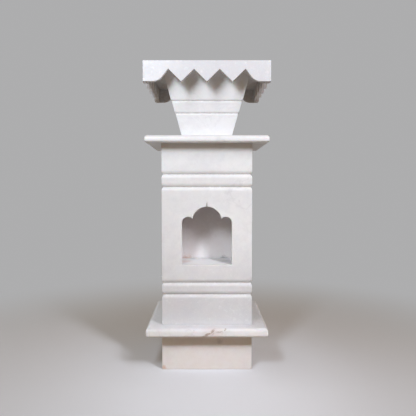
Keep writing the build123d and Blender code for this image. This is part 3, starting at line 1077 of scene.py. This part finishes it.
def group(name, build, **inputs):
    """A shader node group, built once: its inputs are numbers by their defaults, or vectors where None.

    Its outputs are the masks and heights that build returns by name.
    """
    if name in bpy.data.node_groups:
        return bpy.data.node_groups[name]
    tree = bpy.data.node_groups.new(name, "ShaderNodeTree")
    for key, default in inputs.items():
        kind = "NodeSocketVector" if default is None else "NodeSocketFloat"
        socket = tree.interface.new_socket(key.capitalize(), in_out="INPUT", socket_type=kind)
        if default is not None:
            socket.default_value = default
    built = build(tree, tree.nodes.new("NodeGroupInput").outputs)
    for key in built:
        tree.interface.new_socket(key, in_out="OUTPUT", socket_type="NodeSocketFloat")
    way_out = tree.nodes.new("NodeGroupOutput").inputs
    for key, value in built.items():
        wire(tree, value, way_out[key])
    return tree


def use(tree, made, **inputs):
    """The outputs of a group's instance, with its inputs by name."""
    instance = tree.nodes.new("ShaderNodeGroup")
    instance.node_tree = made
    for key, value in inputs.items():
        wire(tree, value, instance.inputs[key.capitalize()])
    return instance.outputs


# ---- effects that the marbles share -------------------------------------------------------------
def clouding_group():
    """Soft drifts of tone: large noise bent by a second, with finer mottling laid over it."""

    def build(tree, entry):
        vector, stone, scale = entry["Vector"], entry["Stone"], entry["Scale"]
        wide = noise(tree, vector, stone, scale, roughness=0.55, distortion=0.8)
        fine = noise(tree, vector, stone, calc(tree, "MULTIPLY", scale, 5.5), roughness=0.6)
        both = calc(tree, "ADD", calc(tree, "MULTIPLY", wide, 0.62), calc(tree, "MULTIPLY", fine, 0.38))
        return {"Mask": graded(tree, both, 0.40, 0.66)}

    return group("marble_clouding", build, vector=None, stone=0.0, scale=7.0)


def veining_group():
    """Thin winding lines: where noise passes through its middle value, narrowed and broken up."""

    def build(tree, entry):
        vector, stone, scale = entry["Vector"], entry["Stone"], entry["Scale"]
        field = noise(tree, vector, stone, scale, detail=4, roughness=0.55, distortion=1.2)
        off = calc(tree, "ABSOLUTE", calc(tree, "SUBTRACT", field, 0.5))
        line = graded(tree, calc(tree, "DIVIDE", off, entry["Width"]), 1.0, 0.0)
        gaps = noise(tree, vector, stone, calc(tree, "MULTIPLY", scale, 0.7), detail=2)
        return {"Mask": calc(tree, "MULTIPLY", line, graded(tree, gaps, 0.46, 0.62))}

    return group("marble_veining", build, vector=None, stone=0.0, scale=9.0, width=0.02)


def crystal_group():
    """Crystal grain: cells of random value for colour, and their rims for height."""

    def build(tree, entry):
        inputs = {"Vector": entry["Vector"], "Scale": entry["Scale"], "Randomness": 1.0}
        cells = node(tree, "TexVoronoi", {"feature": "F1", "voronoi_dimensions": "3D"}, inputs)
        value = node(tree, "SeparateColor", inputs={"Color": cells.outputs["Color"]}).outputs[0]
        return {"Mask": value, "Height": cells.outputs["Distance"]}

    return group("marble_crystals", build, vector=None, scale=600.0)


def wear_group():
    """Wear along an arris: the mesh's own edge mark, broken up by noise."""

    def build(tree, entry):
        breaks = noise(tree, entry["Vector"], entry["Stone"], 160.0, roughness=0.6)
        uneven = calc(tree, "MULTIPLY", entry["Arris"], calc(tree, "ADD", breaks, 0.35))
        return {"Mask": graded(tree, uneven, 0.25, 0.85)}

    return group("arris_wear", build, vector=None, stone=0.0, arris=0.0)


def stain_group():
    """A stain round a point: a soft ball, ragged with noise."""

    def build(tree, entry):
        away = vector_calc(tree, "DISTANCE", entry["Vector"], entry["Centre"])["Value"]
        share = calc(tree, "DIVIDE", away, entry["Radius"])
        ragged = calc(tree, "SUBTRACT", noise(tree, entry["Vector"], 0.0, 90.0, 4, 0.65), 0.5)
        return {"Mask": graded(tree, calc(tree, "ADD", share, calc(tree, "MULTIPLY", ragged, 1.4)), 1.0, 0.1)}

    return group("ragged_stain", build, vector=None, centre=None, radius=0.01)


def sheet_vein_group():
    """One vein: a thin wavy sheet of stone through a point, which fades out with distance from it.

    The mask is 1 where the distance to the plane through Centre square to Facing, shifted by noise,
    is under Width, times a soft ball of the given Reach, and is broken into patches.
    """

    def build(tree, entry):
        vector = entry["Vector"]
        from_centre = vector_calc(tree, "SUBTRACT", vector, entry["Centre"])[0]
        height = vector_calc(tree, "DOT_PRODUCT", from_centre, entry["Facing"])["Value"]
        length = vector_calc(tree, "LENGTH", from_centre)["Value"]
        wave = calc(tree, "SUBTRACT", noise(tree, vector, 0.0, 55.0, roughness=0.6), 0.5)
        shifted = calc(tree, "ADD", height, calc(tree, "MULTIPLY", wave, entry["Waver"]))
        line = graded(tree, calc(tree, "DIVIDE", calc(tree, "ABSOLUTE", shifted), entry["Width"]), 1.0, 0.2)
        fade = graded(tree, calc(tree, "DIVIDE", length, entry["Reach"]), 1.0, 0.45)
        patchy = graded(tree, noise(tree, vector, 0.0, 120.0, roughness=0.6), 0.36, 0.56)
        return {"Mask": calc(tree, "MULTIPLY", calc(tree, "MULTIPLY", line, fade), patchy)}

    inputs = {"vector": None, "centre": None, "facing": None, "width": 0.002, "reach": 0.05, "waver": 0.012}
    return group("sheet_vein", build, **inputs)


def honing_group():
    """Height of a honed face in metres: slow waves from the polishing head, fine pits and crystal rims.

    Where the stone is worn, its grain stands out as well.
    """

    def build(tree, entry):
        vector, stone = entry["Vector"], entry["Stone"]
        wave = calc(tree, "MULTIPLY", noise(tree, vector, stone, 28.0, detail=2), 0.35 * MM)
        pits = graded(tree, noise(tree, vector, stone, 520.0, detail=2, roughness=0.6), 0.34, 0.22)
        pitted = calc(tree, "SUBTRACT", wave, calc(tree, "MULTIPLY", pits, 0.12 * MM))
        rims = calc(tree, "MULTIPLY", entry["Crystals"], 0.03 * MM)
        rough = calc(tree, "MULTIPLY", noise(tree, vector, stone, 900.0, detail=2), 0.12 * MM)
        worn_part = calc(tree, "MULTIPLY", rough, entry["Wear"])
        return {"Height": calc(tree, "ADD", calc(tree, "ADD", pitted, rims), worn_part)}

    return group("honed_height", build, vector=None, stone=0.0, crystals=0.0, wear=0.0)


# ---- materials ----------------------------------------------------------------------------------
def new_material(name):
    """An empty material with a Principled shader, its object coordinates and its output."""
    material = bpy.data.materials.new(DRESSED + name)
    material.use_nodes = True
    tree = material.node_tree
    tree.nodes.clear()
    shader = node(tree, "BsdfPrincipled")
    node(tree, "OutputMaterial", inputs={"Surface": shader.outputs[0]})
    return material, tree, shader, node(tree, "TexCoord").outputs["Object"]


def mark(tree, name):
    """One of the mesh's own marks."""
    return node(tree, "Attribute", {"attribute_name": name, "attribute_type": "GEOMETRY"}).outputs["Fac"]


def marble(name, dull, pale, drift, drift_share, vein_share, own_marks):
    """Honed marble: drifting tone, faint veins, crystal grain, pale worn arrises, grime and painted shade.

    The dullest stones are the most clouded. own_marks lays the stone's own veins or stains.
    """
    colours = bpy.context.scene.planter_colours
    material, tree, shader, vector = new_material(name)
    stone, tone = mark(tree, "stone"), mark(tree, "tone")
    calm = calc(tree, "MULTIPLY_ADD", tone, -0.7, 1.2)

    def drifts(scale):
        drift_mask = use(tree, clouding_group(), vector=vector, stone=stone, scale=scale)["Mask"]
        return calc(tree, "MULTIPLY", drift_mask, calm)

    clouds, mottles = drifts(7.0), drifts(42.0)
    flecks = graded(tree, noise(tree, vector, stone, 75.0, detail=4, roughness=0.65), 0.52, 0.70)
    flecks = calc(tree, "MULTIPLY", flecks, calm)
    veins = use(tree, veining_group(), vector=vector, stone=stone, scale=5.0, width=0.018)["Mask"]
    crystals = use(tree, crystal_group(), vector=vector, scale=650.0)
    wear = use(tree, wear_group(), vector=vector, stone=stone, arris=mark(tree, "arris"))["Mask"]
    patches = graded(tree, noise(tree, vector, stone, 130.0, roughness=0.6), 0.25, 0.6)
    grime = calc(tree, "MULTIPLY", mark(tree, "grime"), patches)

    colour = laid(
        tree, mix(tree, tone, dull, pale), (drift, clouds, drift_share), (drift, mottles, 0.26),
        (pale, flecks, 0.3), ([0.72 * channel for channel in drift], veins, vein_share),
    )
    colour = own_marks(tree, vector, colour)
    colour = laid(tree, colour, (pale, crystals["Mask"], 0.10), (colours.worn, wear, 0.35))
    # The grime mark lays the soil colour: grime, and painted shade in joints, grooves and recesses.
    wire(tree, mix(tree, grime, colour, colours.soil_and_shade), shader.inputs["Base Color"])
    rough = calc(tree, "MULTIPLY_ADD", wear, 0.14, calc(tree, "MULTIPLY_ADD", clouds, 0.08, 0.36))
    wire(tree, calc(tree, "MULTIPLY_ADD", grime, 0.2, rough, clamp=True), shader.inputs["Roughness"])
    face = {"vector": vector, "stone": stone, "crystals": crystals["Height"], "wear": wear}
    height = use(tree, honing_group(), **face)["Height"]
    bump = node(tree, "Bump", inputs={"Strength": 0.5, "Distance": 1.0, "Height": height})
    wire(tree, bump.outputs[0], shader.inputs["Normal"])
    shader.inputs["IOR"].default_value = 1.49
    shader.inputs["Subsurface Weight"].default_value = 0.2
    shader.inputs["Subsurface Radius"].default_value = (1.0, 0.6, 0.4)
    shader.inputs["Subsurface Scale"].default_value = 6 * MM
    return material


def stained(*spots):
    """A marble's own marks: a ragged stain at each spot, by its centre, radius, share and colour."""

    def own_marks(tree, vector, colour):
        for centre, radius, share, stain in spots:
            mask = use(tree, stain_group(), vector=vector, centre=centre, radius=radius)["Mask"]
            colour = laid(tree, colour, (stain, mask, share))
        return colour

    return own_marks


def white_marble():
    """The shaft, the niche's floor and cheeks, the cornice, the pot and the canopy.

    Iron has wept out at the left of the niche's foot, and a dark spot lies at the right.
    """
    colours = bpy.context.scene.planter_colours
    spots = stained(
        ((-84 * MM, -75 * MM, SILL - 6 * MM), 48 * MM, 0.30, colours.iron),
        ((78 * MM, -70 * MM, SILL - 6 * MM), 50 * MM, 0.30, colours.soot),
    )
    return marble("white_marble", colours.dull, colours.white, colours.cloud, 0.34, 0.16, spots)


def warm_marble():
    """The plinth and the niche's back: a pinkish cast, and iron or soot at a few spots."""
    colours = bpy.context.scene.planter_colours
    back_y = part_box("niche_back")[0].y
    spots = stained(
        ((-COLUMN_REACH + 8 * MM, -COLUMN_REACH, 6 * MM), 12 * MM, 0.45, colours.iron),
        ((-76 * MM, back_y, SILL - 8 * MM), 30 * MM, 0.55, colours.iron),
        ((62 * MM, back_y, SILL - 14 * MM), 26 * MM, 0.9, colours.soot),
        ((43 * MM, -COLUMN_REACH, 98 * MM), 14 * MM, 0.25, colours.soot),
    )
    return marble("warm_marble", colours.warm_dull, colours.warm, colours.blush, 0.2, 0.1, spots)


def veined_marble():
    """The base slab: white marble that a forked brown vein crosses at its front edge.

    Each vein has its centre, the way its sheet faces, its width, reach and waver, and the share of
    it that shows. A faint halo of iron lies round them.
    """
    colours = bpy.context.scene.planter_colours
    low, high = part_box("base_slab")
    middle = (low.z + high.z) / 2
    veins = (
        ((6 * MM, low.y, middle - 1 * MM), (-0.52, 0.0, 0.85), 5.5 * MM, 34 * MM, 10 * MM, 0.75),
        ((38 * MM, low.y, middle + 4 * MM), (-0.30, 0.20, 0.93), 3.2 * MM, 36 * MM, 14 * MM, 0.5),
        ((58 * MM, low.y, middle + 9 * MM), (-0.80, 0.10, 0.58), 3.4 * MM, 16 * MM, 8 * MM, 0.6),
        ((-54 * MM, low.y, middle + 11 * MM), (0.05, 0.30, 0.95), 1.4 * MM, 24 * MM, 6 * MM, 0.3),
    )
    halo = stained(((24 * MM, low.y, middle), 55 * MM, 0.14, colours.iron))

    def forked(tree, vector, colour):
        for centre, facing, width, reach, waver, share in veins:
            sheet = {"centre": centre, "facing": facing, "width": width, "reach": reach, "waver": waver}
            mask = use(tree, sheet_vein_group(), vector=vector, **sheet)["Mask"]
            colour = laid(tree, colour, (colours.vein, mask, share))
        return halo(tree, vector, colour)

    return marble("veined_marble", colours.dull, colours.white, colours.cloud, 0.3, 0.2, forked)


def stainless_steel():
    """Drawn bar: fine scratches along its length, and a little dulling."""
    steel = bpy.context.scene.planter_colours.steel
    material, tree, shader, vector = new_material("stainless_steel")
    stretched = node(tree, "Mapping", inputs={"Vector": vector, "Scale": (1.0, 1.0, 0.03)}).outputs[0]
    lines = noise(tree, stretched, 0.0, 1400.0, detail=2, roughness=0.6)
    dulling = noise(tree, vector, 0.0, 120.0, roughness=0.6)
    colour = mix(tree, lines, [0.8 * channel for channel in steel], steel)
    wire(tree, colour, shader.inputs["Base Color"])
    wire(tree, calc(tree, "MULTIPLY_ADD", dulling, 0.25, 0.25), shader.inputs["Roughness"])
    bump = node(tree, "Bump", inputs={"Strength": 0.3, "Distance": 0.2 * MM, "Height": lines})
    wire(tree, bump.outputs[0], shader.inputs["Normal"])
    shader.inputs["Metallic"].default_value = 1.0
    return material


MATERIALS = {
    "white_marble": white_marble,
    "warm_marble": warm_marble,
    "veined_marble": veined_marble,
    "stainless_steel": stainless_steel,
}


def material_for(slot):
    """The material of one of the record's slots, made at its first use."""
    return bpy.data.materials.get(DRESSED + slot) or MATERIALS[slot]()


# ---- stage --------------------------------------------------------------------------------------
def seen_rays(tree):
    """Masks of rays that see the scene, also in a reflection or through glass, and of the camera's own."""
    rays = node(tree, "LightPath").outputs
    seen = calc(tree, "MAXIMUM", rays["Is Camera Ray"], rays["Is Glossy Ray"])
    return calc(tree, "MAXIMUM", seen, rays["Is Transmission Ray"]), rays["Is Camera Ray"]


def lead_out(tree, output, mask, low, high):
    """Leads a mix of two shaders to the tree's output."""
    blend = node(tree, "MixShader", inputs={0: mask, 1: low, 2: high}).outputs[0]
    node(tree, output, inputs={"Surface": blend})


def lay_floor():
    """A round floor that shades into the backdrop's colour with distance, for the rays that see it."""
    stage = bpy.context.scene.planter_stage
    radius = np.array([0.0, 0.5, 1.0, 2.0, 4.0, 8.0])
    angle = np.linspace(0, 2 * np.pi, 65)[:-1]
    x, y = np.multiply.outer(radius, np.cos(angle)), np.multiply.outer(radius, np.sin(angle))
    points = np.stack([x, y, 0 * x], axis=-1)
    mesh = bpy.data.meshes.new("floor")
    mesh.from_pydata(points.reshape(-1, 3), [], grid_faces(point_ids(points), across_closed=True).tolist())
    material = bpy.data.materials.new("pale_floor")
    material.use_nodes = True
    tree = material.node_tree
    tree.nodes.clear()
    distance = vector_calc(tree, "LENGTH", node(tree, "TexCoord").outputs["Object"])["Value"]
    far = graded(tree, distance, 0.4, 1.6)
    seen, straight = seen_rays(tree)
    matt = node(tree, "BsdfDiffuse", inputs={"Color": mix(tree, straight, stage.bounce, stage.floor)})
    glow = node(tree, "Emission", inputs={"Color": (*stage.backdrop, 1.0), "Strength": 1.0})
    lead_out(tree, "OutputMaterial", calc(tree, "MULTIPLY", far, seen), matt.outputs[0], glow.outputs[0])
    mesh.materials.append(material)
    added("floor", mesh)


def soft_box(name, place, target, size_x, size_y, watts, colour, spread=np.pi):
    """A rectangular lamp that looks at a target."""
    lamp = bpy.data.lights.new(name, "AREA")
    lamp.shape = "RECTANGLE"
    lamp.size, lamp.size_y = size_x, size_y
    lamp.energy, lamp.spread, lamp.color = watts, spread, colour
    box = added(name, lamp)
    box.location = place
    box.rotation_euler = (Vector(target) - Vector(place)).to_track_quat("-Z", "Y").to_euler()


def hang_lamps():
    """Soft boxes: a tall one at the front right, small ones at the front left and low at the left.

    A large one stands behind, and a narrow beam from the right reaches under the base slab.
    """
    stage = bpy.context.scene.planter_stage
    cool, warm = (0.82, 0.89, 0.97), (0.94, 0.935, 1.0)
    middle = (0, 0, 0.5)
    soft_box("right_box", (0.72, -1.3, 1.54), middle, 0.2, 0.94, stage.right_power, warm)
    soft_box("left_box", (-0.42, -1.35, 1.32), middle, 0.2, 0.36, stage.left_power, cool)
    soft_box("foot_beam", (0.72, -1.3, 1.2), (0, -0.15, 0.04), 0.2, 0.2, stage.foot_power, warm, np.pi / 5)
    soft_box("low_box", (-1.3, -0.15, 0.25), (0, 0, 0.85), 0.5, 0.5, stage.low_power, cool)
    soft_box("rear_box", (-0.9, 1.9, 1.3), (0, 0, 0.55), 1.2, 1.2, stage.rear_power, cool)


def paint_background():
    """A warm dim world for light, and the backdrop's colour for the camera and for reflections."""
    stage = bpy.context.scene.planter_stage
    world = bpy.data.worlds.new("studio")
    bpy.context.scene.world = world
    world.use_nodes = True
    tree = world.node_tree
    tree.nodes.clear()
    fill, backdrop = (
        node(tree, "Background", inputs={"Color": (*colour, 1.0), "Strength": 1.0}).outputs[0]
        for colour in (stage.fill, stage.backdrop)
    )
    lead_out(tree, "OutputWorld", seen_rays(tree)[0], fill, backdrop)
    bpy.context.scene.view_settings.view_transform = "Standard"


def place_camera():
    """The camera, nearly level and 1.8 m in front, dips and turns a little towards the planter."""
    dip, turn = np.radians(2.62), np.radians(-0.18)
    data = bpy.data.cameras.new("camera")
    data.sensor_width = 36.0
    data.lens = 42.23
    camera = added("camera", data)
    camera.location = (-0.0013, -1.7873, 0.625)
    camera.rotation_euler = (np.pi / 2 - dip, 0.0, turn)
    bpy.context.scene.camera = camera


# ---- operators ----------------------------------------------------------------------------------
class PLANTER_OT_plinth(bpy.types.Operator):
    """Lay the plinth's four walls."""

    bl_idname = "planter.plinth"
    bl_label = "Lay plinth"

    def execute(self, context):
        points, marks = plinth_wall()
        set_sides("plinth", points, closed_faces(points), marks | {"tone": 0.95}, all_sides(1.0))
        return {"FINISHED"}


class PLANTER_OT_slabs(bpy.types.Operator):
    """Lay the base slab and the cornice."""

    bl_idname = "planter.slabs"
    bl_label = "Lay slabs"

    def execute(self, context):
        for name, seed, edge_tone, top_tone in (("base_slab", 21, 0.95, 0.1), ("cornice", 22, 0.85, 0.3)):
            points, faces, marks = round_edged(name, seed, edge_tone, top_tone)
            make_stone(f"{name}_stone", points, faces, marks | {"stone": seed * 0.7}, name)
        return {"FINISHED"}


class PLANTER_OT_shaft(bpy.types.Operator):
    """Raise the shaft's four walls, the front one pierced by the arch."""

    bl_idname = "planter.shaft"
    bl_label = "Raise shaft"

    def execute(self, context):
        points, faces, marks = pierced_wall()
        set_sides("shaft", points, faces, marks | {"tone": shaft_tone(points)}, {"front": 3.1})
        points, marks = shaft_wall()
        plain = {side: 3.6 + 0.53 * index for index, side in enumerate(SIDES[1:])}
        set_sides("shaft", points, closed_faces(points), marks | {"tone": shaft_tone(points)}, plain)
        return {"FINISHED"}


class PLANTER_OT_niche(bpy.types.Operator):
    """Line the niche with its floor, cheeks and back."""

    bl_idname = "planter.niche"
    bl_label = "Line niche"

    def execute(self, context):
        for index, name in enumerate(("niche_floor", "niche_left_cheek", "niche_right_cheek", "niche_back")):
            points, marks = panel(plan_corners(name), *span(name), arris=0.6 * MM)
            faces = closed_faces(points, shift=points.shape[1] // 8)
            marks = marks | {"stone": 5.2 + 0.7 * index, "tone": lining_tone_and_shade(name, points)}
            make_stone(f"{name}_stone", points, faces, marks, name)
        return {"FINISHED"}


class PLANTER_OT_pot(bpy.types.Operator):
    """Set the pot's four leaning walls."""

    bl_idname = "planter.pot"
    bl_label = "Set pot"

    def execute(self, context):
        points, marks = pot_wall()
        set_sides("pot", points, closed_faces(points), marks | {"tone": 1.0}, all_sides(7.3))
        return {"FINISHED"}


class PLANTER_OT_canopy(bpy.types.Operator):
    """Lay the deck and hang the toothed aprons round it."""

    bl_idname = "planter.canopy"
    bl_label = "Hang canopy"

    def execute(self, context):
        points, faces, marks = deck_stone()
        make_stone("deck_stone", points, faces, marks | {"stone": 9.1, "tone": 0.5}, "deck")
        points, marks = apron_wall()
        # The aprons take the dullest tone: greyer stone, and painted shade against the lamps' strong light
        # there.
        set_sides("apron", points, closed_faces(points), marks | {"tone": 0.05}, all_sides(9.9))
        return {"FINISHED"}


class PLANTER_OT_kept_pieces(bpy.types.Operator):
    """Give the hidden pieces that keep their own shape their stone or steel."""

    bl_idname = "planter.kept_pieces"
    bl_label = "Finish hidden pieces"

    def execute(self, context):
        for name, piece in frame["nodes"].items():
            if not piece.hide_render:
                piece.data.materials.clear()
                piece.data.materials.append(material_for(slot_of(name)))
        return {"FINISHED"}


class PLANTER_OT_stage(bpy.types.Operator):
    """Set the floor, the lamps, the background and the camera."""

    bl_idname = "planter.stage"
    bl_label = "Set stage"

    def execute(self, context):
        lay_floor()
        hang_lamps()
        paint_background()
        place_camera()
        return {"FINISHED"}


# ---- panel and registration ---------------------------------------------------------------------
OPERATORS = (
    PLANTER_OT_plinth, PLANTER_OT_slabs, PLANTER_OT_shaft, PLANTER_OT_niche,
    PLANTER_OT_pot, PLANTER_OT_canopy, PLANTER_OT_kept_pieces, PLANTER_OT_stage,
)


class PLANTER_PT_sidebar(bpy.types.Panel):
    """The planter's pieces, sizes and colours."""

    bl_idname = "PLANTER_PT_sidebar"
    bl_label = "Tulsi vrindavan planter"
    bl_space_type = "VIEW_3D"
    bl_region_type = "UI"
    bl_category = "Planter"

    def draw(self, context):
        for operator in OPERATORS:
            self.layout.operator(operator.bl_idname)
        for name in GROUPS:
            values = getattr(context.scene, name)
            box = self.layout.box()
            box.label(text=name.replace("_", " ").capitalize())
            for key in values.__annotations__:
                box.prop(values, key)


CLASSES = (*GROUPS.values(), *OPERATORS, PLANTER_PT_sidebar)


def register():
    """Registers every class and hangs the groups of values on the scene."""
    for one in CLASSES:
        bpy.utils.register_class(one)
    for name, kind in GROUPS.items():
        setattr(bpy.types.Scene, name, PointerProperty(type=kind))


def unregister():
    """Undoes register."""
    for name in GROUPS:
        delattr(bpy.types.Scene, name)
    for one in reversed(CLASSES):
        bpy.utils.unregister_class(one)


def main():
    """Builds the planter and its stage."""
    register()
    for operator in OPERATORS:
        family, name = operator.bl_idname.split(".")
        getattr(getattr(bpy.ops, family), name)()


if __name__ == "__main__":
    main()
